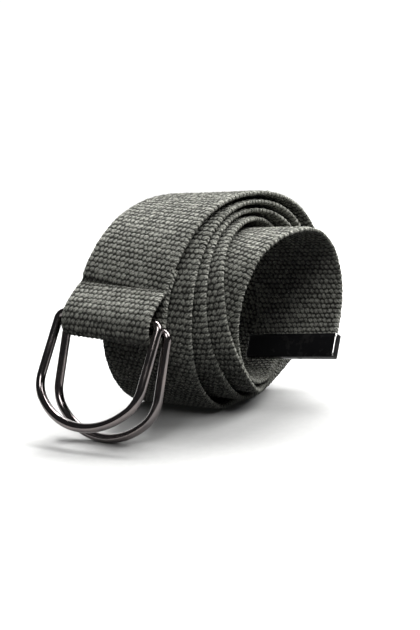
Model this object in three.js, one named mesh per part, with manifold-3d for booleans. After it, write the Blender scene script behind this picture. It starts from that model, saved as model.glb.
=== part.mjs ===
// Ring belt: a canvas webbing belt with two D rings, rolled up and lying on its rolled edge.
// Millimetres, +Z up, +X along the axis of the roll towards the side that the metal tip stands out of.
// The origin is on the surface that the belt lies on, under the middle of the outermost turn.
import * as THREE from 'three';
import { mergeVertices } from 'three/addons/utils/BufferGeometryUtils.js';
import Module from 'manifold-3d';

// Webbing
const STRAP_WIDTH = 38;
const STRAP_THICKNESS = 2.2;
const SELVEDGE = 0.55;
const SETTLE = 0.6;

// Wire of the D rings, measured on the centre line of the wire unless the name says otherwise
const WIRE = 3.2;
const RING_HALF_WIDTH = 21.9;
const RING_LEG = 26.6;
const RING_SAG = 11.9;
const BAR_CORNER = 2.5;
const ARC_CORNER = 12;
const WIRE_SIDES = 12;
const RING_DIVISIONS = 3;

// Loop that holds the rings: from the seam the strap runs down over the front of both bars, folds
// back under them and rises behind, where its end is sewn to the inner face. The middle of the
// strap is given in the plane square to the bars, forward of the seam and below it.
const LOOP_YAW = -1.5;
const LOOP_PITCH = -3.5;
const LOOP = [
  { forward: 2.9, down: 2 },
  { forward: 6.8, down: 5.1 },
  { forward: 9.5, down: 8.1 },
  { forward: 10.7, down: 11.1 },
  { forward: 10.7, down: 13.8 },
  { forward: 9.6, down: 15.8 },
  { forward: 7.2, down: 16.7 },
  { forward: 4.4, down: 16.5 },
  { forward: 2.2, down: 14.7 },
  { forward: 1.1, down: 11.2 },
  { forward: 0.3, down: 7.5 },
  { forward: -0.5, down: 4 },
];
const STEPS_PER_FOLD = 2;
const SEWN_FROM = 1597;
const SEWN_DEPTH = 0.7;

// Metal tip, folded over the inner end of the strap
const TIP_LENGTH = 9.3;
const TIP_WALL = 0.5;
const TIP_GAP = 0.25;
const TIP_EDGE = 0.4;
const TIP_BEVEL = 0.2;
const TIP_LEAN = 3.5;
const TIP_YAW = -7.8;

// Straight bar of each ring: forward of the seam, below it and along the bar, and how far the ring
// swings forward from hanging straight down
const BAR_FRONT = { forward: 7.1, down: 9.8, along: -1, swing: 28.8 };
const BAR_REAR = { forward: 4.8, down: 12.9, along: 0.6, swing: 16.6 };

// Path of the strap round the roll. The angle runs on from turn to turn: 0 back, 90 top, 180 front,
// 270 bottom. The radius is the middle of the strap from the roll's axis, and the slide is how far
// the strap has crept along the axis, which makes the roll a telescoped one.
const ROLL = [
  { angle: -40, radius: 24.7, slide: 33.1 },
  { angle: 0, radius: 24.6, slide: 32.8 },
  { angle: 45, radius: 26.3, slide: 32.4 },
  { angle: 90, radius: 26.5, slide: 31.2 },
  { angle: 135, radius: 28, slide: 24 },
  { angle: 180, radius: 28, slide: 18.5 },
  { angle: 225, radius: 28, slide: 14.5 },
  { angle: 270, radius: 29.5, slide: 10 },
  { angle: 315, radius: 33.5, slide: 4 },
  { angle: 360, radius: 31, slide: 7 },
  { angle: 405, radius: 30.5, slide: 9 },
  { angle: 450, radius: 30.5, slide: 10.5 },
  { angle: 495, radius: 31.5, slide: 12 },
  { angle: 540, radius: 31, slide: 15.5 },
  { angle: 585, radius: 31, slide: 17 },
  { angle: 630, radius: 32.2, slide: 9.2 },
  { angle: 675, radius: 36.1, slide: 4.5 },
  { angle: 720, radius: 34, slide: 11.5 },
  { angle: 765, radius: 34, slide: 13.5 },
  { angle: 810, radius: 33.5, slide: 9.5 },
  { angle: 855, radius: 34.5, slide: 9 },
  { angle: 900, radius: 34, slide: 9.5 },
  { angle: 945, radius: 34, slide: 9.5 },
  { angle: 990, radius: 35.5, slide: 5.5 },
  { angle: 1035, radius: 38.7, slide: 5.5 },
  { angle: 1080, radius: 37.5, slide: 12.5 },
  { angle: 1125, radius: 37.5, slide: 14.5 },
  { angle: 1170, radius: 36.5, slide: 10 },
  { angle: 1215, radius: 37.1, slide: 7.5 },
  { angle: 1260, radius: 38, slide: 5.8 },
  { angle: 1305, radius: 38.2, slide: 1.2 },
  { angle: 1350, radius: 39.7, slide: -1.9 },
  { angle: 1395, radius: 41.4, slide: 4.2 },
  { angle: 1440, radius: 42.5, slide: 16 },
  { angle: 1485, radius: 41.7, slide: 16.2 },
  { angle: 1530, radius: 39.5, slide: 9.5 },
  { angle: 1575, radius: 41, slide: 3.2 },
  { angle: 1604, radius: 43, slide: -0.5 },
];
const RESTING_RADIUS = 39;
const ROLL_CENTRE_Z = RESTING_RADIUS + STRAP_THICKNESS / 2 - SETTLE;
const STEPS_PER_ROW = 5;
const TWIST_FROM = 1560;
const UNTWISTED_AT = 20;
const SAME_POINT = 0.01;

const wasm = await Module();
wasm.setup();

// A closed solid from a mesh geometry, for joining and cutting
function solidOf(geometry) {
  const bare = geometry.clone();
  bare.deleteAttribute('normal');
  bare.deleteAttribute('uv');
  const merged = mergeVertices(bare, 1e-4);
  return new wasm.Manifold(new wasm.Mesh({
    numProp: 3,
    vertProperties: new Float32Array(merged.attributes.position.array),
    triVerts: new Uint32Array(merged.index.array),
  }));
}

function geometryOf(solid) {
  const mesh = solid.getMesh();
  const geometry = new THREE.BufferGeometry();
  geometry.setAttribute('position', new THREE.BufferAttribute(new Float32Array(mesh.vertProperties), 3));
  geometry.setIndex(new THREE.BufferAttribute(new Uint32Array(mesh.triVerts), 1));
  geometry.computeVertexNormals();
  return geometry;
}

// A station is one cross-section of a strap or wire: its centre, the way its width lies and the way
// its outer face looks. Only the part of the width that is square to the run is kept.
function station(centre, run, width) {
  const along = run.clone().normalize();
  const side = width.clone().addScaledVector(along, -width.dot(along)).normalize();
  return { centre, side, face: along.cross(side) };
}

// Stations along a line of { centre, width } points, each square to the run past it
function stationsAlong(line) {
  return line.map(({ centre, width }, i) => {
    const before = line[Math.max(i - 1, 0)].centre;
    const after = line[Math.min(i + 1, line.length - 1)].centre;
    const arrive = centre.clone().sub(before).normalize();
    const leave = after.clone().sub(centre).normalize();
    return station(centre, arrive.add(leave), width);
  });
}

// Skin between the stations, for an outline of { side, face } offsets that runs anticlockwise seen
// against the run. An open piece gets a flat cap on each end, and a closed one meets itself.
function sweep(stations, outline, closed) {
  const corners = outline.length;
  const positions = stations.flatMap(({ centre, side, face }) => outline.flatMap((corner) => centre
    .clone()
    .addScaledVector(side, corner.side)
    .addScaledVector(face, corner.face)
    .toArray()));
  const faces = [];
  const spans = closed ? stations.length : stations.length - 1;
  for (let i = 0; i < spans; i++) {
    const here = i * corners;
    const next = ((i + 1) % stations.length) * corners;
    for (let k = 0; k < corners; k++) {
      const m = (k + 1) % corners;
      faces.push(here + k, here + m, next + m, here + k, next + m, next + k);
    }
  }
  if (!closed) {
    const last = (stations.length - 1) * corners;
    for (let k = 1; k < corners - 1; k++) {
      faces.push(0, k + 1, k, last, last + k, last + k + 1);
    }
  }
  const geometry = new THREE.BufferGeometry();
  geometry.setAttribute('position', new THREE.Float32BufferAttribute(positions, 3));
  geometry.setIndex(faces);
  geometry.computeVertexNormals();
  return geometry;
}

// Cross-section of the webbing: a flat band whose woven edges are slightly rounded
function strapOutline() {
  const half = STRAP_WIDTH / 2;
  const skin = STRAP_THICKNESS / 2;
  const quarter = [
    { side: half, face: skin - SELVEDGE },
    { side: half - SELVEDGE, face: skin },
  ];
  const upper = [...quarter, ...quarter.map(({ side, face }) => ({ side: -side, face })).reverse()];
  return [...upper, ...upper.map(({ side, face }) => ({ side: -side, face: -face }))];
}

// Point on the roll from its table values. The strap is pressed flat where it rests.
function rollPoint({ angle, radius, slide }) {
  const turn = THREE.MathUtils.degToRad(angle);
  const z = ROLL_CENTRE_Z + radius * Math.sin(turn);
  return new THREE.Vector3(slide, radius * Math.cos(turn), Math.max(z, STRAP_THICKNESS / 2));
}

// Smooth run of table values between the rows
function rollRows() {
  const rows = ROLL.map(({ angle, radius, slide }) => new THREE.Vector3(angle, radius, slide));
  return new THREE.CatmullRomCurve3(rows, false, 'catmullrom', 0.5)
    .getPoints((ROLL.length - 1) * STEPS_PER_ROW)
    .map(({ x, y, z }) => ({ angle: x, radius: y, slide: z }));
}

// Direction of the rings' bars, and the forward and downward directions square to it
const yaw = THREE.MathUtils.degToRad(LOOP_YAW);
const pitch = THREE.MathUtils.degToRad(LOOP_PITCH);
const BAR_LINE = new THREE.Vector3(
  Math.cos(yaw) * Math.cos(pitch),
  Math.sin(yaw) * Math.cos(pitch),
  Math.sin(pitch),
);
const UP = new THREE.Vector3(0, 0, 1);
const DOWN = UP.clone().negate().addScaledVector(BAR_LINE, UP.dot(BAR_LINE)).normalize();
const FORWARD = DOWN.clone().cross(BAR_LINE);

// The roll's points. Near the seam the strap turns to lie along the bars, and its free end is
// turned a little too.
const ROLL_AXIS = new THREE.Vector3(1, 0, 0);
const TIP_LINE = ROLL_AXIS.clone().applyAxisAngle(UP, THREE.MathUtils.degToRad(TIP_YAW));

function rollLine(rows) {
  const end = rows[0].angle;
  const seam = rows.at(-1).angle;
  return rows.map((row) => {
    const toSeam = THREE.MathUtils.smoothstep(row.angle, TWIST_FROM, seam);
    const fromEnd = THREE.MathUtils.smoothstep(row.angle, end, UNTWISTED_AT);
    const width = TIP_LINE.clone().lerp(ROLL_AXIS, fromEnd).lerp(BAR_LINE, toSeam);
    return { centre: rollPoint(row), width };
  });
}

const ROWS = rollRows();
const ROLL_LINE = rollLine(ROWS);
const ROLL_STATIONS = stationsAlong(ROLL_LINE);
const SEAM = ROLL_LINE.at(-1).centre;

// A point given in the plane square to the bars, and along them
function nearSeam({ forward, down, along }) {
  return SEAM.clone()
    .addScaledVector(FORWARD, forward)
    .addScaledVector(DOWN, down)
    .addScaledVector(BAR_LINE, along);
}

// The stiff tip leans out from the curve of the strap, and its mouth is where the curve begins
const { centre: mouthCentre, side: mouthSide, face: mouthFace } = ROLL_STATIONS[0];
const INTO_TIP = mouthFace
  .clone()
  .cross(mouthSide)
  .addScaledVector(mouthFace, Math.tan(THREE.MathUtils.degToRad(TIP_LEAN)))
  .normalize();
const TIP_MOUTH = station(mouthCentre, INTO_TIP.clone().negate(), mouthSide);

// The strap: the roll, the loop and the sewn end, fused where the end lies on the strap and flat
// where it rests at z 0
function strapGeometry() {
  const tipEnd = {
    centre: TIP_MOUTH.centre.clone().addScaledVector(INTO_TIP, TIP_LENGTH - TIP_WALL - TIP_GAP),
    width: TIP_MOUTH.side,
  };
  const sewn = ROLL_STATIONS
    .filter((_, i) => ROWS[i].angle >= SEWN_FROM)
    .reverse()
    .map(({ centre, side, face }) => ({
      centre: centre.clone().addScaledVector(face, SEWN_DEPTH - STRAP_THICKNESS),
      width: side,
    }));
  const folds = [SEAM, ...LOOP.map((fold) => nearSeam({ ...fold, along: 0 })), sewn[0].centre];
  const loop = new THREE.CatmullRomCurve3(folds, false, 'catmullrom', 0.5)
    .getPoints((folds.length - 1) * STEPS_PER_FOLD)
    .slice(1, -1)
    .map((centre) => ({ centre, width: BAR_LINE }));
  const whole = stationsAlong([tipEnd, ...ROLL_LINE, ...loop, ...sewn]);
  const split = whole.length - sewn.length - Math.floor(loop.length / 2);
  const outline = strapOutline();
  const wound = sweep(whole.slice(0, split), outline, false);
  const returned = sweep(whole.slice(split - 1), outline, false);
  return geometryOf(solidOf(wound).add(solidOf(returned)).trimByPlane([0, 0, 1], 0));
}

// Half of a D ring on its wire's centre line, seen from the front with the bar on top: half the bar,
// a corner, a leg, a wider corner and half of the bowed end. The other half is its mirror image.
function halfRing() {
  const half = RING_HALF_WIDTH;
  const bow = (half ** 2 + RING_SAG ** 2) / (2 * RING_SAG);
  const bowCentre = bow - RING_LEG - RING_SAG;
  const corner = Math.acos((half - ARC_CORNER) / (bow - ARC_CORNER));
  const legEnd = bowCentre - (bow - ARC_CORNER) * Math.sin(corner);
  const path = new THREE.Path();
  path.moveTo(0, 0);
  path.lineTo(half - BAR_CORNER, 0);
  path.absarc(half - BAR_CORNER, -BAR_CORNER, BAR_CORNER, Math.PI / 2, 0, true);
  path.lineTo(half, legEnd);
  path.absarc(half - ARC_CORNER, legEnd, ARC_CORNER, 0, -corner, true);
  path.absarc(0, bowCentre, bow, -corner, -Math.PI / 2, true);
  const points = path.getPoints(RING_DIVISIONS);
  return points.filter((point, i) => i === 0 || point.distanceTo(points[i - 1]) > SAME_POINT);
}

function ringGeometry(bar) {
  const swing = THREE.MathUtils.degToRad(bar.swing);
  const down = DOWN.clone().multiplyScalar(Math.cos(swing)).addScaledVector(FORWARD, Math.sin(swing));
  const plane = down.clone().cross(BAR_LINE);
  const right = halfRing();
  const left = right.slice(1, -1).reverse().map(({ x, y }) => new THREE.Vector2(-x, y));
  const centres = [...right, ...left]
    .map(({ x, y }) => nearSeam(bar).addScaledVector(BAR_LINE, x).addScaledVector(down, -y));
  const stations = centres.map((centre, i) => {
    const arrive = centre.clone().sub(centres.at(i - 1)).normalize();
    const leave = centres[(i + 1) % centres.length].clone().sub(centre).normalize();
    return station(centre, arrive.add(leave), plane);
  });
  const outline = Array.from({ length: WIRE_SIDES }, (_, i) => {
    const turn = (i * 2 * Math.PI) / WIRE_SIDES;
    return { side: (Math.cos(turn) * WIRE) / 2, face: (Math.sin(turn) * WIRE) / 2 };
  });
  return sweep(stations, outline, true);
}

// The metal tip: a flat cap of folded sheet with a slot for the strap, its mouth at z 0
function tipGeometry() {
  const wide = STRAP_WIDTH + 2 * (TIP_GAP + TIP_WALL);
  const thick = STRAP_THICKNESS + 2 * (TIP_GAP + TIP_WALL);
  const x = wide / 2 - TIP_EDGE;
  const y = thick / 2 - TIP_EDGE;
  const outer = new THREE.Shape();
  outer.absarc(x, y, TIP_EDGE, 0, Math.PI / 2, false);
  outer.absarc(-x, y, TIP_EDGE, Math.PI / 2, Math.PI, false);
  outer.absarc(-x, -y, TIP_EDGE, Math.PI, 1.5 * Math.PI, false);
  outer.absarc(x, -y, TIP_EDGE, 1.5 * Math.PI, 2 * Math.PI, false);
  const shell = new THREE.ExtrudeGeometry(outer, {
    depth: TIP_LENGTH - 2 * TIP_BEVEL,
    bevelThickness: TIP_BEVEL,
    bevelSize: TIP_BEVEL,
    bevelOffset: -TIP_BEVEL,
    bevelSegments: 2,
    curveSegments: 3,
  });
  shell.translate(0, 0, TIP_BEVEL);
  const depth = TIP_LENGTH - TIP_WALL;
  const slot = new THREE.BoxGeometry(STRAP_WIDTH + 2 * TIP_GAP, STRAP_THICKNESS + 2 * TIP_GAP, 2 * depth);
  return geometryOf(solidOf(shell).subtract(solidOf(slot)));
}

const webbing = new THREE.MeshStandardMaterial({ color: 0x4d5047, roughness: 0.95, metalness: 0 });
const gunmetal = new THREE.MeshStandardMaterial({ color: 0x4a4648, roughness: 0.15, metalness: 1 });
const blackMetal = new THREE.MeshStandardMaterial({ color: 0x2a2a2c, roughness: 0.2, metalness: 1 });

function named(name, geometry, material) {
  const mesh = new THREE.Mesh(geometry, material);
  mesh.name = name;
  return mesh;
}

const tip = named('tip', tipGeometry(), blackMetal);
const tipAxes = new THREE.Matrix4().makeBasis(TIP_MOUTH.side.clone().negate(), TIP_MOUTH.face, INTO_TIP);
tip.quaternion.setFromRotationMatrix(tipAxes);
tip.position.copy(TIP_MOUTH.centre);

const belt = new THREE.Group();
belt.add(named('strap', strapGeometry(), webbing));
belt.add(tip);
belt.add(named('d_ring_front', ringGeometry(BAR_FRONT), gunmetal));
belt.add(named('d_ring_rear', ringGeometry(BAR_REAR), gunmetal));

export default belt;
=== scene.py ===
import math

import bpy
import numpy as np
from mathutils import Matrix, Vector


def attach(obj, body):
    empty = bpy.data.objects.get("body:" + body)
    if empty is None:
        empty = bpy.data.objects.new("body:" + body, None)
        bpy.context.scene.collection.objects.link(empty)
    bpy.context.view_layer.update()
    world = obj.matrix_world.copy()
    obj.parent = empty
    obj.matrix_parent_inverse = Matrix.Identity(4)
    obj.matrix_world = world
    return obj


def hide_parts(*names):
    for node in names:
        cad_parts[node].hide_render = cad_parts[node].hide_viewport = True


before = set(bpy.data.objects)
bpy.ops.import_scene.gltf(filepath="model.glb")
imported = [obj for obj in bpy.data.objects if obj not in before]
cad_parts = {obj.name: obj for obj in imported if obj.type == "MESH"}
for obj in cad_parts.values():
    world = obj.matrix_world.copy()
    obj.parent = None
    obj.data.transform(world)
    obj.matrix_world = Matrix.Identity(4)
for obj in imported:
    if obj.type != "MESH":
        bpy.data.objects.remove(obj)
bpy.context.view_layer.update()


# The strap: one length of thick cotton webbing, 38 mm wide, rolled up from its tipped end. Its other
# end runs down over the bars of both rings and back up behind them, where it is sewn to itself.
# Lengths are in millimetres until a mesh is made.
MM = 0.001
STRAP_WIDTH = 38.0
STRAP_THICKNESS = 2.2
ROLL_CENTRE_Z = 39.5
ROLL_STEPS = 20
LOOP_STEPS = 12

# Path round the roll: angle (0 back, 90 top, 180 front, 270 bottom), radius of the strap's middle
# from the axis, and slide along the axis
ROLL = [
    (-40, 24.7, 33.1), (0, 24.6, 32.8), (45, 26.3, 32.4), (90, 26.5, 31.2), (135, 28, 24),
    (180, 28, 18.5), (225, 28, 14.5), (270, 29.5, 10), (315, 33.5, 4), (360, 31, 7), (405, 30.5, 9),
    (450, 30.5, 10.5), (495, 31.5, 12), (540, 31, 15.5), (585, 31, 17), (630, 32.2, 9.2),
    (675, 36.1, 4.5), (720, 34, 11.5), (765, 34, 13.5), (810, 33.5, 9.5), (855, 34.5, 9),
    (900, 34, 9.5), (945, 34, 9.5), (990, 35.5, 5.5), (1035, 38.7, 5.5), (1080, 37.5, 12.5),
    (1125, 37.5, 14.5), (1170, 36.5, 10), (1215, 37.1, 7.5), (1260, 38, 5.8), (1305, 38.2, 1.2),
    (1350, 39.7, -1.9), (1395, 41.4, 4.2), (1440, 42.5, 16), (1485, 41.7, 16.2), (1530, 39.5, 9.5),
    (1575, 41, 3.2), (1604, 43, -0.5),
]

# Path of the loop in the plane square to the bars: forward of the seam, and below it
LOOP = [
    (2.9, 2), (6.8, 5.1), (9.5, 8.1), (10.7, 11.1), (10.7, 13.8), (9.6, 15.8), (7.2, 16.7),
    (4.4, 16.5), (2.2, 14.7), (1.1, 11.2), (0.3, 7.5), (-0.5, 4),
]

# Angles on the roll: up to UNTWISTED_AT the strap turns from the line of the tip to that of the
# roll's axis, and after TWIST_FROM from there to that of the bars. The sewn end lies SEWN_INSIDE
# under the strap and reaches back along it to SEWN_FROM.
UNTWISTED_AT = 20
TWIST_FROM = 1560
SEWN_FROM = 1590
SEWN_INSIDE = 1.9


# A smooth curve through the rows, with so many steps from each row to the next
def smooth_run(rows, steps):
    rows = np.array(rows, float)
    ends = np.vstack([2 * rows[0] - rows[1], rows, 2 * rows[-1] - rows[-2]])
    t = (np.arange(steps) / steps)[:, None]
    run = []
    for a, b, c, d in zip(ends, ends[1:], ends[2:], ends[3:]):
        leave = (c - a) / 2
        arrive = (d - b) / 2
        run.append(b + leave * t + (3 * (c - b) - 2 * leave - arrive) * t ** 2
                   + (2 * (b - c) + leave + arrive) * t ** 3)
    return np.vstack(run + [rows[-1:]])


def unit(v):
    return v / np.linalg.norm(v, axis=-1, keepdims=True)


# How far x has gone from low to high, with a gentle start and end
def ease(x, low, high):
    t = np.clip((x - low) / (high - low), 0, 1)
    return (t * t * (3 - 2 * t))[:, None]


def round_the_roll(rows):
    turn = np.radians(rows[:, 0])
    height = np.maximum(ROLL_CENTRE_Z + rows[:, 1] * np.sin(turn), STRAP_THICKNESS / 2)
    return np.stack([rows[:, 2], rows[:, 1] * np.cos(turn), height], -1)


roll_rows = smooth_run(ROLL, ROLL_STEPS)
wound = round_the_roll(roll_rows)
seam = wound[-1]

# Directions at the loop: along the bars, down along the rings and forward, away from the roll
LOOP_YAW = math.radians(-1.5)
LOOP_PITCH = math.radians(-3.5)
BAR_LINE = np.array([
    math.cos(LOOP_YAW) * math.cos(LOOP_PITCH),
    math.sin(LOOP_YAW) * math.cos(LOOP_PITCH),
    math.sin(LOOP_PITCH),
])
STRAIGHT_DOWN = np.array([0.0, 0.0, -1.0])
DOWN = unit(STRAIGHT_DOWN - (STRAIGHT_DOWN @ BAR_LINE) * BAR_LINE)
FORWARD = np.cross(DOWN, BAR_LINE)


def near_seam(forward, down, along=0.0):
    return seam + forward * FORWARD + down * DOWN + along * BAR_LINE


# Line across the strap at each point of the roll
TIP_YAW = math.radians(-7.8)
TIP_LINE = np.array([math.cos(TIP_YAW), math.sin(TIP_YAW), 0.0])
ROLL_AXIS = np.array([1.0, 0.0, 0.0])
from_end = ease(roll_rows[:, 0], ROLL[0][0], UNTWISTED_AT)
to_seam = ease(roll_rows[:, 0], TWIST_FROM, ROLL[-1][0])
wound_side = TIP_LINE * (1 - from_end) + ROLL_AXIS * from_end
wound_side = wound_side * (1 - to_seam) + BAR_LINE * to_seam

# The last stretch goes straight on into the tip, which leans out of the roll a little
TIP_LEAN = math.radians(3.5)
INTO_TIP = 8.0
MOUTH_STEPS = 4
mouth_run = unit(wound[MOUTH_STEPS] - wound[0])
mouth_side = unit(wound_side[0] - (wound_side[0] @ mouth_run) * mouth_run)
mouth_face = np.cross(mouth_run, mouth_side)
into_tip = unit(np.cross(mouth_face, mouth_side) + math.tan(TIP_LEAN) * mouth_face)

sewn_rows = roll_rows[roll_rows[:, 0] >= SEWN_FROM][::-1]
sewn_turn = np.radians(sewn_rows[:, 0])
sewn_out = np.stack([np.zeros(len(sewn_rows)), np.cos(sewn_turn), np.sin(sewn_turn)], -1)
sewn = round_the_roll(sewn_rows) - SEWN_INSIDE * sewn_out
looped = smooth_run([seam, *(near_seam(*fold) for fold in LOOP), sewn[0]], LOOP_STEPS)[1:-1]
strap_path = np.vstack([wound[0] + into_tip * INTO_TIP, wound, looped, sewn])
path_side = np.vstack([mouth_side, wound_side, np.tile(BAR_LINE, (len(looped) + len(sewn), 1))])


# The weave: rows of raised floats, every second row set off by half a float. The mesh has a
# cross-section on each row and one between, with a column on each float and one between, and the
# strap's upper face is drawn in by the stitching at the seam.
ROW_PITCH = 1.97
FLOAT_PITCH = 2.05
FLOAT_RISE = 0.16
ROW_RISE = 0.05
RISE_STRAY = 0.05
EDGE_RISE = 0.1
EDGE_STRAY = 0.07
EDGE_ROUND = 0.28
EDGE_SHOULDER = 0.68
ABOVE_FLOOR = 0.02

step = np.linalg.norm(np.diff(strap_path, axis=0), axis=1)
length = np.concatenate([[0], np.cumsum(step)])
strap_length = length[-1]
seam_at = length[len(wound)]

# Places of the sections in the seam's groove, from the seam. The groove is deepest at SEAM_LINE, and
# it and its painted shadow are wider on the side of the roll than on the side of the loop.
SEAM_SECTIONS = np.array([-1.1, -0.7, -0.3, 0.1, 0.4, 0.7])
SEAM_LINE = 0.1
SEAM_SINK = 0.55
GROOVE_WIDTHS = (0.9, 0.35)
CREASE_SHADOW_WIDTHS = (0.75, 0.5)

stations = int(round(strap_length / (ROW_PITCH / 2)))
along = np.union1d(np.linspace(0, strap_length, stations + 1), seam_at + SEAM_SECTIONS)
row = along / (2 * strap_length / stations)
middle = np.stack([np.interp(along, length, strap_path[:, k]) for k in range(3)], -1)
strap_side = np.stack([np.interp(along, length, path_side[:, k]) for k in range(3)], -1)
strap_run = unit(np.gradient(middle, axis=0))
strap_side = unit(strap_side - (strap_side * strap_run).sum(1, keepdims=True) * strap_run)
strap_face = np.cross(strap_run, strap_side)

# One section: the upper face, one edge, the lower face and the other edge
columns = int(STRAP_WIDTH / FLOAT_PITCH) * 2
half = STRAP_WIDTH / 2
skin = STRAP_THICKNESS / 2 - FLOAT_RISE - ROW_RISE
inner = np.arange(1, columns)
across = (inner - columns / 2) * FLOAT_PITCH / 2
flat = np.full(len(inner), skin)
edge_out = np.array([half - EDGE_ROUND, half - EDGE_RISE, half - EDGE_ROUND])
edge_up = np.array([EDGE_SHOULDER * skin, 0.0, -EDGE_SHOULDER * skin])
section_out = np.concatenate([across, edge_out, across[::-1], -edge_out])
section_up = np.concatenate([flat, edge_up, -flat, -edge_up])
column = np.concatenate([inner, np.full(3, columns), inner[::-1], np.zeros(3, int)])
on_edge = np.isin(column, (0, columns))


# How far each section is drawn in, from 0 to 1
def drawn_in(widths):
    past = along - seam_at - SEAM_LINE
    return np.exp(-(past / np.where(past < 0, *widths)) ** 2)[:, None]


random = np.random.default_rng(7)
up_and_down = np.cos(2 * np.pi * row)[:, None]
rise = FLOAT_RISE * np.cos(np.pi * (row[:, None] + column)) + ROW_RISE * up_and_down
rise = rise + random.normal(0, RISE_STRAY, rise.shape)
edge_rise = EDGE_RISE * up_and_down + random.normal(0, EDGE_STRAY, rise.shape)
sink = SEAM_SINK * drawn_in(GROOVE_WIDTHS) * (section_up > 0)

up = section_up + np.sign(section_up) * np.where(on_edge, 0, rise) - sink
out = section_out + np.sign(section_out) * np.where(on_edge, edge_rise, 0)
skin_points = (middle[:, None] + out[..., None] * strap_side[:, None]
               + up[..., None] * strap_face[:, None])
skin_points[..., 2] = np.maximum(skin_points[..., 2], ABOVE_FLOOR)


def piece(name, points, faces):
    mesh = bpy.data.meshes.new(name)
    mesh.from_pydata((np.asarray(points) * MM).tolist(), [], faces)
    mesh.validate()
    mesh.polygons.foreach_set("use_smooth", [True] * len(mesh.polygons))
    made = bpy.data.objects.new(name, mesh)
    bpy.context.scene.collection.objects.link(made)
    return made


# The faces of a skin over a row of sections: capped at both ends, or closed round to the first one
def skin_over(sections, points_each, closed=False):
    faces = []
    for i in range(sections if closed else sections - 1):
        here = i * points_each
        there = (i + 1) % sections * points_each
        for k in range(points_each):
            m = (k + 1) % points_each
            faces.append([here + k, here + m, there + m, there + k])
    if not closed:
        faces.append(list(range(points_each))[::-1])
        faces.append([(sections - 1) * points_each + k for k in range(points_each)])
    return faces


def turned_over(faces):
    return [corners[::-1] for corners in faces]


webbing = piece("webbing", skin_points.reshape(-1, 3), turned_over(skin_over(*skin_points.shape[:2])))

# Place in the weave at each point of the mesh, for the material: floats across, rows along, and 1 on
# the edges. The crease is a shadow painted into the cloth's colour along the seam, on its upper face.
weave = webbing.data.attributes.new("weave", "FLOAT_VECTOR", "POINT")
weave_at = np.stack(np.broadcast_arrays((out + half) / FLOAT_PITCH, row[:, None], on_edge * 1.0), -1)
weave.data.foreach_set("vector", weave_at.astype(np.float32).ravel())
crease_shadow = webbing.data.attributes.new("crease_shadow", "FLOAT", "POINT")
crease_shadow_at = drawn_in(CREASE_SHADOW_WIDTHS) * (up > 0)
crease_shadow.data.foreach_set("value", crease_shadow_at.astype(np.float32).ravel())


# What a node of a material gives. It can be added, multiplied and so on, as a number can.
class Amount:
    def __init__(self, finish, socket):
        self.finish = finish
        self.socket = socket

    def worked(self, operation, *values):
        return self.finish.add("ShaderNodeMath", dict(enumerate(values)), operation=operation)

    def __add__(self, other):
        return self.worked("ADD", self, other)

    def __radd__(self, other):
        return self.worked("ADD", other, self)

    def __sub__(self, other):
        return self.worked("SUBTRACT", self, other)

    def __rsub__(self, other):
        return self.worked("SUBTRACT", other, self)

    def __mul__(self, other):
        return self.worked("MULTIPLY", self, other)

    def __truediv__(self, other):
        return self.worked("DIVIDE", self, other)

    def __mod__(self, other):
        return self.worked("FLOORED_MODULO", self, other)

    def spread(self, low, high):
        return low + self * (high - low)

    def at_least(self, other):
        return self.worked("MAXIMUM", self, other)

    def floor(self):
        return self.worked("FLOOR", self)

    def sign(self):
        return self.worked("SIGN", self)

    def cosine(self):
        return self.worked("COSINE", self)


# One finish: a material, and the nodes it is made of
class Finish:
    def __init__(self, name):
        self.material = bpy.data.materials.new(name)
        self.material.use_nodes = True
        self.nodes = self.material.node_tree.nodes
        self.links = self.material.node_tree.links
        self.shader = self.nodes["Principled BSDF"]

    def feed(self, socket, value):
        if isinstance(value, Amount):
            self.links.new(value.socket, socket)
        else:
            socket.default_value = value

    def add(self, kind, values=None, out=0, **settings):
        node = self.nodes.new(kind)
        for name, value in settings.items():
            setattr(node, name, value)
        for key, value in (values or {}).items():
            self.feed(node.inputs[key], value)
        return Amount(self, node.outputs[out])

    # Place on the piece, in metres
    def spot(self):
        return self.add("ShaderNodeTexCoord", out=3)

    def noise(self, at, scale, detail, roughness=0.5, out=0):
        values = {"Vector": at, "Scale": scale, "Detail": detail, "Roughness": roughness}
        return self.add("ShaderNodeTexNoise", values, out=out)

    def bump(self, strength, distance, height):
        return self.add("ShaderNodeBump", {"Strength": strength, "Distance": distance, "Height": height})

    def split(self, vector):
        node = self.nodes.new("ShaderNodeSeparateXYZ")
        self.feed(node.inputs[0], vector)
        return [Amount(self, socket) for socket in node.outputs]

    # A value between low and high, brought smoothly to between to_low and to_high
    def between(self, value, low, high, to_low=0.0, to_high=1.0):
        return self.add("ShaderNodeMapRange", {0: value, 1: low, 2: high, 3: to_low, 4: to_high},
                        interpolation_type="SMOOTHSTEP")

    def blend(self, share, first, second):
        return self.add("ShaderNodeMix", {0: share, 6: first, 7: second}, out=2, data_type="RGBA")

    def surface(self, **values):
        for name, value in values.items():
            self.feed(self.shader.inputs[name.replace("_", " ")], value)

    def cover(self, made):
        made.data.materials.append(self.material)
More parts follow.
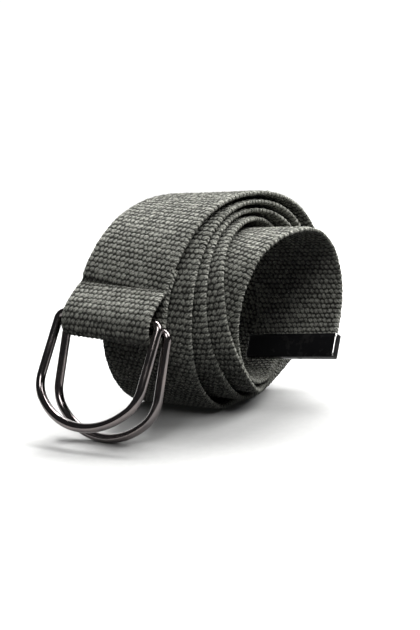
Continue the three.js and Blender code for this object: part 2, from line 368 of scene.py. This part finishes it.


# The cotton: olive-grey yarn. Each float is a rounded pad of twisted yarn, and floats differ a little in
# place, size and shade, as the yarn does. The gaps between the floats are dark: painted near-black as
# their shadow. Each float is painted light on top, at its middle, and darker towards its rim, as shading
# of its round top, and the twist is painted as light and dark stripes as well as bumped.
FLOAT_SHADE = (0.345, 0.347, 0.306, 1)
# Painted shadow: the colour the gaps between the floats are painted, far darker than the yarn
GAP_PAINTED_SHADOW = (0.016, 0.016, 0.014, 1)
FLUFF_SHADE = (0.95, 0.96, 0.86, 1)
PAD_WIDTH = 0.52
PAD_LENGTH = 0.52
PAD_SLANT = 0.12
PAD_SIZES = (0.9, 1.1)
PAD_SHADES = (0.75, 1.25)
STRAY_ACROSS = 0.95
STRAY_ALONG = 0.55
STRAY_SCALE = 0.6
YARNS_ACROSS = 2.1
YARNS_ALONG = 1.6
YARN_DEPTH = 0.4
FIBRE_STRETCH = (3.2, 3.2, 1.0)
FIBRE_HEIGHT = 0.6
WEAR_SCALE = 0.12
WEAR_SHADES = (0.8, 1.2)
WEAVE_DEPTH = 0.0008

cotton = Finish("olive_webbing")
place = cotton.add("ShaderNodeAttribute", out=1, attribute_name="weave")
across_at, along_at, at_edge = cotton.split(place)
stray_across, stray_along, _ = cotton.split(cotton.noise(place, scale=STRAY_SCALE, detail=3.0, out=1))
across_at = across_at + (stray_across - 0.5) * STRAY_ACROSS
along_at = along_at + (stray_along - 0.5) * STRAY_ALONG


# The float that is nearest in one row: how far into its pad a point lies, and the pad's shade there,
# which is painted shading, lightest at the pad's middle as if lit, times the float's own tone
def float_in(row_number):
    in_row = along_at - row_number
    shifted = across_at + (row_number % 2.0 * 0.5 + in_row * PAD_SLANT)
    float_number = (shifted + 0.5).floor()
    in_float = (shifted - float_number) * (1.0 - at_edge)
    one_float = cotton.add("ShaderNodeCombineXYZ", {0: float_number, 1: row_number, 2: 0.0})
    chance = cotton.add("ShaderNodeTexWhiteNoise", {"Vector": one_float}, noise_dimensions="3D")
    full = cotton.between(chance, 0.0, 1.0, *PAD_SIZES)
    far_across = in_float / (full * PAD_WIDTH)
    far_along = in_row / (full * PAD_LENGTH)
    pad = (1.0 - (far_across * far_across + far_along * far_along)).at_least(0.0)
    return pad, pad * chance.spread(*PAD_SHADES)


near_row = (along_at + 0.5).floor()
next_row = near_row + (along_at - near_row).sign()
near_pad, near_shade = float_in(near_row)
next_pad, next_shade = float_in(next_row)
pad = near_pad.at_least(next_pad)
shade = near_shade.at_least(next_shade)
yarns = ((across_at * YARNS_ACROSS + along_at * YARNS_ALONG) * (2 * math.pi)).cosine() * YARN_DEPTH
stretched = cotton.add("ShaderNodeMapping", {"Vector": place, "Scale": FIBRE_STRETCH})
fibre = cotton.noise(stretched, scale=1.0, detail=4.0, roughness=0.7)
worn = cotton.noise(place, scale=WEAR_SCALE, detail=3.0)
# Painted shadow: how much the cloth's colour is darkened along the seam's crease
painted_crease_shadow = cotton.add("ShaderNodeAttribute", out=2, attribute_name="crease_shadow")
# Painted shade: the gaps blend to the near-black gap colour and the twist's stripes are painted light
# and dark. Wear and fibre are the yarn's own tone.
shade = shade * worn.spread(*WEAR_SHADES) * cotton.between(fibre, 0.3, 0.7, 0.0, 2.0)
shade = shade * (1.0 - painted_crease_shadow) * (1.0 + yarns)
height = pad * (1.0 + yarns) + fibre * FIBRE_HEIGHT
cotton.surface(
    Base_Color=cotton.blend(shade, GAP_PAINTED_SHADOW, FLOAT_SHADE), Roughness=0.95, Specular_IOR_Level=0.15,
    Sheen_Weight=0.2, Sheen_Roughness=0.25, Sheen_Tint=FLUFF_SHADE,
    Normal=cotton.bump(strength=1.0, distance=WEAVE_DEPTH, height=height))
cotton.cover(webbing)
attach(webbing, "belt")
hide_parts("strap")


# The stitching: one row of dark thread across the strap, pulled down into the seam that closes the
# loop round the bars.
STITCHES = 13
STITCH_LENGTH = 2.1
STITCH_STEP = 2.7
FIRST_STITCH = 1.6
STITCH_ARCH = 0.24
STITCH_PULL = 0.16
THREAD = 0.42
THREAD_SIDES = 6
THREAD_STEPS = 6
THREAD_SHADE = (0.035, 0.037, 0.028, 1)


# Points and faces of a round thread or wire along a line, with its bends square to bend_plane
def tube(line, reach, bend_plane, sides, closed=False):
    line = np.asarray(line, float)
    if closed:
        arrive = unit(line - np.roll(line, 1, 0))
        leave = unit(np.roll(line, -1, 0) - line)
    else:
        arrive = unit(np.vstack([line[1] - line[0], np.diff(line, axis=0)]))
        leave = unit(np.vstack([np.diff(line, axis=0), line[-1] - line[-2]]))
    run = unit(arrive + leave)
    first = unit(bend_plane - (run @ bend_plane)[:, None] * run)
    second = np.cross(run, first)
    turn = (np.arange(sides) * 2 * math.pi / sides)[None, :, None]
    reach = np.broadcast_to(reach, len(line))[:, None, None]
    points = line[:, None] + reach * (np.cos(turn) * first[:, None] + np.sin(turn) * second[:, None])
    return points.reshape(-1, 3), skin_over(len(line), sides, closed)


seam_index = int(np.argmin(abs(along - seam_at)))
t = np.linspace(0, 1, THREAD_STEPS + 1)
# The thread is thinner at the ends of a stitch, where it goes into the cloth
thread_reach = THREAD / 2 * np.sin(np.pi * (0.2 + 0.6 * t)) ** 0.5
lift = skin - SEAM_SINK + STITCH_ARCH * np.sin(np.pi * t) - STITCH_PULL
stitch_points = []
stitch_faces = []
for number in range(STITCHES):
    begin = FIRST_STITCH - half + number * STITCH_STEP
    stitch = (middle[seam_index] + np.outer(begin + t * STITCH_LENGTH, strap_side[seam_index])
              + np.outer(lift, strap_face[seam_index]))
    points, faces = tube(stitch, thread_reach, strap_face[seam_index], THREAD_SIDES)
    stitch_faces += [[k + number * len(points) for k in f] for f in faces]
    stitch_points.append(points)
stitching = piece("seam_stitching", np.vstack(stitch_points), stitch_faces)

thread = Finish("dark_thread")
ply = thread.add("ShaderNodeTexWave", {"Scale": 900.0, "Distortion": 1.0}, out=1,
                 bands_direction="DIAGONAL")
thread.surface(Base_Color=THREAD_SHADE, Roughness=0.8,
               Normal=thread.bump(strength=0.6, distance=0.0001, height=ply))
thread.cover(stitching)
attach(stitching, "belt")


# The two rings: each a D of round steel wire with a straight bar, plated dark and polished. The
# bars lie one behind the other in the loop, so each ring swings by itself.
WIRE = 3.2
WIRE_SIDES = 32
RING_HALF_WIDTH = 21.9
RING_LEG = 26.6
RING_SAG = 11.9
BAR_CORNER = 2.5
ARC_CORNER = 12.0
STRAIGHT_POINTS = 7
CORNER_STEPS = 8
SHOULDER_STEPS = 10
BOW_STEPS = 12

# Each bar's place from the seam: forward, down and along the bar. Then how far its ring hangs forward.
BAR_FRONT = (7.1, 9.8, -1)
BAR_REAR = (4.8, 12.9, 0.6)
SWING_FRONT = math.radians(28.8)
SWING_REAR = math.radians(16.6)


def arc(centre, radius, begin, end, steps):
    turn = np.linspace(begin, end, steps + 1)
    return np.stack([centre[0] + radius * np.cos(turn), centre[1] + radius * np.sin(turn)], -1)


# The ring's middle line, across the bar and up from it: the right half and then the left
def ring_line():
    bow = (RING_HALF_WIDTH ** 2 + RING_SAG ** 2) / (2 * RING_SAG)
    bow_centre = bow - RING_LEG - RING_SAG
    corner = math.acos((RING_HALF_WIDTH - ARC_CORNER) / (bow - ARC_CORNER))
    leg_end = bow_centre - (bow - ARC_CORNER) * math.sin(corner)
    bar_end = RING_HALF_WIDTH - BAR_CORNER
    right = np.vstack([
        np.linspace((0, 0), (bar_end, 0), STRAIGHT_POINTS)[:-1],
        arc((bar_end, -BAR_CORNER), BAR_CORNER, math.pi / 2, 0, CORNER_STEPS),
        np.linspace((RING_HALF_WIDTH, -BAR_CORNER), (RING_HALF_WIDTH, leg_end), STRAIGHT_POINTS)[1:-1],
        arc((RING_HALF_WIDTH - ARC_CORNER, leg_end), ARC_CORNER, 0, -corner, SHOULDER_STEPS),
        arc((0, bow_centre), bow, -corner, -math.pi / 2, BOW_STEPS)[1:],
    ])
    return np.vstack([right, right[1:-1][::-1] * [-1, 1]])


def ring(name, bar, swing):
    drop = DOWN * math.cos(swing) + FORWARD * math.sin(swing)
    sideways, fall = ring_line().T
    wire = near_seam(*bar) + np.outer(sideways, BAR_LINE) - np.outer(fall, drop)
    return piece(name, *tube(wire, WIRE / 2, np.cross(drop, BAR_LINE), WIRE_SIDES, closed=True))


ring_front = ring("ring_front", BAR_FRONT, SWING_FRONT)
ring_rear = ring("ring_rear", BAR_REAR, SWING_REAR)

GUNMETAL = (0.14, 0.127, 0.127, 1)
GUNMETAL_WORN = (0.19, 0.165, 0.16, 1)
plated = Finish("gunmetal_plating")
cloudy = plated.noise(plated.spot(), scale=160.0, detail=3.0)
plated.surface(
    Base_Color=plated.blend(plated.between(cloudy, 0.35, 0.75), GUNMETAL, GUNMETAL_WORN),
    Metallic=1.0, Roughness=plated.between(cloudy, 0.3, 0.8, 0.1, 0.18))
rings = ((ring_front, "ring_front", "d_ring_front"), (ring_rear, "ring_rear", "d_ring_rear"))
for made, body, node in rings:
    plated.cover(made)
    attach(made, body)
    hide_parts(node)


# The tip: a cap of thin steel folded over the strap's free end. Its two faces are black, its bent
# edges are bright metal, a painted highlight of the light their rounded corners catch, and the short
# walls at its two ends are dull.
TIP_LENGTH = 9.3
TIP_WALL = 0.5
TIP_GAP = 0.25
TIP_CORNER = 0.55
TIP_CORNER_LEAST = 0.12
TIP_CORNER_STEPS = 4
CORNER_SHRINK = 0.5

# Depth into the tip from its mouth, and how far the wall stands in from the full outline. The last
# four points round the closed end.
TIP_PROFILE = [
    (3.0, 0.48), (0.06, 0.46), (0.0, 0.34), (0.04, 0.12), (0.16, 0.0), (2.0, 0.0), (5.5, 0.0),
    (TIP_LENGTH - 0.55, 0.0), (TIP_LENGTH - 0.3, 0.06), (TIP_LENGTH - 0.1, 0.22), (TIP_LENGTH, 0.5),
]
ROUNDED_END = 4

tip_wide = STRAP_WIDTH + 2 * (TIP_GAP + TIP_WALL)
tip_thick = STRAP_THICKNESS + 2 * (TIP_GAP + TIP_WALL)
tip_side = unit(mouth_side - (mouth_side @ into_tip) * into_tip)
tip_face = np.cross(-into_tip, tip_side)


def rounded_outline(wide, thick, corner):
    x = wide / 2 - corner
    y = thick / 2 - corner
    corners = ((x, y), (-x, y), (-x, -y), (x, -y))
    quarter = math.pi / 2
    return np.vstack([arc(centre, corner, number * quarter, (number + 1) * quarter, TIP_CORNER_STEPS)
                      for number, centre in enumerate(corners)])


def tip_section(depth, inset):
    corner = max(TIP_CORNER - inset * CORNER_SHRINK, TIP_CORNER_LEAST)
    outline = rounded_outline(tip_wide - 2 * inset, tip_thick - 2 * inset, corner)
    return (wound[0] + np.outer(outline[:, 0], tip_side) + np.outer(outline[:, 1], tip_face)
            + depth * into_tip)


tip_sections = np.stack([tip_section(depth, inset) for depth, inset in TIP_PROFILE])
tip_faces = turned_over(skin_over(*tip_sections.shape[:2]))
cap = piece("metal_tip", tip_sections.reshape(-1, 3), tip_faces)

BLACK = (0.006, 0.006, 0.0065, 1)
BLACK_SCUFFED = (0.016, 0.0155, 0.015, 1)
BLACK_RUBBED = (0.02, 0.0195, 0.019, 1)
# Painted highlight: the bright colour given to the tip's bent edges
EDGE_HIGHLIGHT_SHADE = (0.62, 0.61, 0.6, 1)
enamel = Finish("black_enamel")
scuff = enamel.noise(enamel.spot(), scale=220.0, detail=5.0, roughness=0.65)
enamel.surface(
    Base_Color=enamel.blend(enamel.between(scuff, 0.5, 0.8), BLACK, BLACK_SCUFFED),
    Roughness=enamel.between(scuff, 0.35, 0.75, 0.16, 0.34), Specular_IOR_Level=0.12,
    Normal=enamel.bump(strength=0.15, distance=0.0002, height=scuff))
# Painted highlight: bright polished metal on the bent edges, where the black cap's rounded edges catch
# light
edge_highlight = Finish("painted_edge_highlight")
grain = edge_highlight.noise(edge_highlight.spot(), scale=500.0, detail=3.0)
edge_highlight.surface(Base_Color=EDGE_HIGHLIGHT_SHADE, Metallic=1.0, Roughness=edge_highlight.between(grain, 0.3, 0.7, 0.18, 0.32))
dull = Finish("dull_end")
rub = dull.noise(dull.spot(), scale=400.0, detail=4.0)
dull.surface(
    Base_Color=dull.blend(dull.between(rub, 0.45, 0.75), BLACK, BLACK_RUBBED),
    Roughness=dull.between(rub, 0.3, 0.7, 0.4, 0.6), Specular_IOR_Level=0.03)
for finish in (enamel, edge_highlight, dull):
    finish.cover(cap)

# A wall of the tip is black where it lies flat with the faces, bright metal as a painted highlight where
# it bends away from them, and dull where it is square to them. The last two numbers below are the
# bright and the dull finishes' numbers on the cap.
LIES_FLAT = 0.97
SQUARE = 0.4
EDGE_HIGHLIGHT = 1
DULL = 2
wall_faces = (len(TIP_PROFILE) - ROUNDED_END) * tip_sections.shape[1]
for polygon in cap.data.polygons[:wall_faces]:
    flatness = abs(polygon.normal.dot(Vector(tip_face)))
    if flatness < LIES_FLAT:
        polygon.material_index = EDGE_HIGHLIGHT if flatness > SQUARE else DULL
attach(cap, "belt")
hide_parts("tip")


# The camera: where the photograph was taken from, in front of the belt, to its right and a little
# above it, and tilted a little.
AZIMUTH = math.radians(33.08)
ELEVATION = math.radians(10.15)
TILT = math.radians(-3.95)
CAMERA_AT = (0.2071, -0.3061, 0.0994)
SENSOR_WIDTH = 36
FOCAL_LENGTH = 56.0

ahead = Vector((
    -math.sin(AZIMUTH) * math.cos(ELEVATION),
    math.cos(AZIMUTH) * math.cos(ELEVATION),
    -math.sin(ELEVATION),
))
level = Vector((math.cos(AZIMUTH), math.sin(AZIMUTH), 0))
above = level.cross(ahead)
to_right = math.cos(TILT) * level + math.sin(TILT) * above
to_top = math.cos(TILT) * above - math.sin(TILT) * level
lens = bpy.data.cameras.new("camera")
lens.sensor_width = SENSOR_WIDTH
lens.lens = FOCAL_LENGTH
camera = bpy.data.objects.new("camera", lens)
turned = Matrix((to_right, to_top, -ahead)).transposed()
camera.matrix_world = Matrix.Translation(CAMERA_AT) @ turned.to_4x4()
bpy.context.scene.collection.objects.link(camera)
bpy.context.scene.camera = camera
bpy.context.scene.view_settings.view_transform = "Standard"


# The backing paper: a flat pale floor that the belt rests on, square to the camera, and a wall that
# curves up behind it. Neither throws light back on the cloth, and the wall shows only in the metal.
FLOOR_WIDTH = 2.0
WALL_WIDTH = 3.0
PAPER_FRONT = 0.7
PAPER_BACK = 0.9
CURVE_RADIUS = 0.45
WALL_TOP = 1.7
FLOOR_POINTS = 9
CURVE_POINTS = 17
PAPER_SHADE = (0.413, 0.413, 0.408, 1)
PAPER_FLECK = (0.427, 0.427, 0.422, 1)

aside = np.array([level.x, level.y, 0.0])
away = np.array([-math.sin(AZIMUTH), math.cos(AZIMUTH), 0.0])
upright = np.array([0.0, 0.0, 1.0])
paper = Finish("pale_paper")
pulp = paper.noise(paper.spot(), scale=350.0, detail=4.0)
paper.surface(Base_Color=paper.blend(paper.between(pulp, 0.35, 0.65), PAPER_SHADE, PAPER_FLECK),
              Roughness=0.9, Specular_IOR_Level=0.1)


def sheet_of_paper(name, width, profile):
    points = [away * back + aside * edge + upright * height
              for back, height in profile for edge in (-width / 2, width / 2)]
    faces = [[2 * i, 2 * i + 1, 2 * i + 3, 2 * i + 2] for i in range(len(profile) - 1)]
    made = piece(name, np.array(points) / MM, faces)
    paper.cover(made)
    made.visible_diffuse = False
    return made


flat_floor = [(back, 0.0) for back in np.linspace(-PAPER_FRONT, PAPER_BACK, FLOOR_POINTS)]
curve = [(PAPER_BACK + CURVE_RADIUS * math.sin(a), CURVE_RADIUS * (1 - math.cos(a)))
         for a in np.linspace(0, math.pi / 2, CURVE_POINTS)]
sheet_of_paper("floor", FLOOR_WIDTH, flat_floor)
wall = sheet_of_paper("wall", WALL_WIDTH, curve + [(PAPER_BACK + CURVE_RADIUS, WALL_TOP)])
wall.visible_camera = False


# The surround: a white globe that only the camera sees, so that the background is plain from every
# side.
SURROUND_RADIUS = 4.0
SURROUND_TIERS = 24
SURROUND_BEARINGS = 48
NEAR_POLE = math.pi / 2 - 0.01

tiers = np.linspace(-NEAR_POLE, NEAR_POLE, SURROUND_TIERS + 1)[:, None]
bearings = np.linspace(0, 2 * math.pi, SURROUND_BEARINGS + 1)[None, :-1]
globe = SURROUND_RADIUS * np.stack(np.broadcast_arrays(
    np.cos(tiers) * np.cos(bearings), np.cos(tiers) * np.sin(bearings), np.sin(tiers)), -1)
surround = piece("surround", globe.reshape(-1, 3) / MM, skin_over(*globe.shape[:2]))
white = Finish("white_surround")
white.surface(Base_Color=(0, 0, 0, 1), Emission_Color=(1, 1, 1, 1), Emission_Strength=1.05,
              Specular_IOR_Level=0.0)
white.cover(surround)
surround.visible_diffuse = False
surround.visible_glossy = False
surround.visible_shadow = False
surround.visible_transmission = False


# Studio light: a soft box above and behind the belt, weaker ones to its right and behind it, a weak
# one in front for the metal, one that lights the paper wall, and a faint even light all round.
BELT_MIDDLE = (0, 0, 0.04)
WALL_MIDDLE = (-0.736, 1.134, 0.75)
EVEN_SHADE = (0.9, 0.92, 0.95, 1)
EVEN_STRENGTH = 0.08


def soft_box(name, at, aim, size, power):
    lamp = bpy.data.lights.new(name, "AREA")
    lamp.shape = "RECTANGLE"
    lamp.size, lamp.size_y = size
    lamp.energy = power
    made = bpy.data.objects.new(name, lamp)
    made.location = at
    made.rotation_mode = "QUATERNION"
    made.rotation_quaternion = (Vector(aim) - Vector(at)).to_track_quat("-Z", "Y")
    bpy.context.scene.collection.objects.link(made)


soft_box("overhead", at=(-0.1, 0.7, 1.35), aim=BELT_MIDDLE, size=(0.9, 0.9), power=55)
soft_box("right", at=(0.84, 0.545, 1.125), aim=BELT_MIDDLE, size=(1.0, 1.0), power=30)
soft_box("front", at=(0.545, -0.84, 1.125), aim=BELT_MIDDLE, size=(0.6, 0.6), power=12)
soft_box("behind", at=(-0.68, 1.05, 1.25), aim=BELT_MIDDLE, size=(0.5, 0.5), power=26)
soft_box("backdrop", at=(-0.30, 0.46, 0.9), aim=WALL_MIDDLE, size=(0.9, 0.3), power=20)
studio = bpy.data.worlds.new("studio")
studio.use_nodes = True
even_light = studio.node_tree.nodes["Background"]
even_light.inputs["Color"].default_value = EVEN_SHADE
even_light.inputs["Strength"].default_value = EVEN_STRENGTH
bpy.context.scene.world = studio
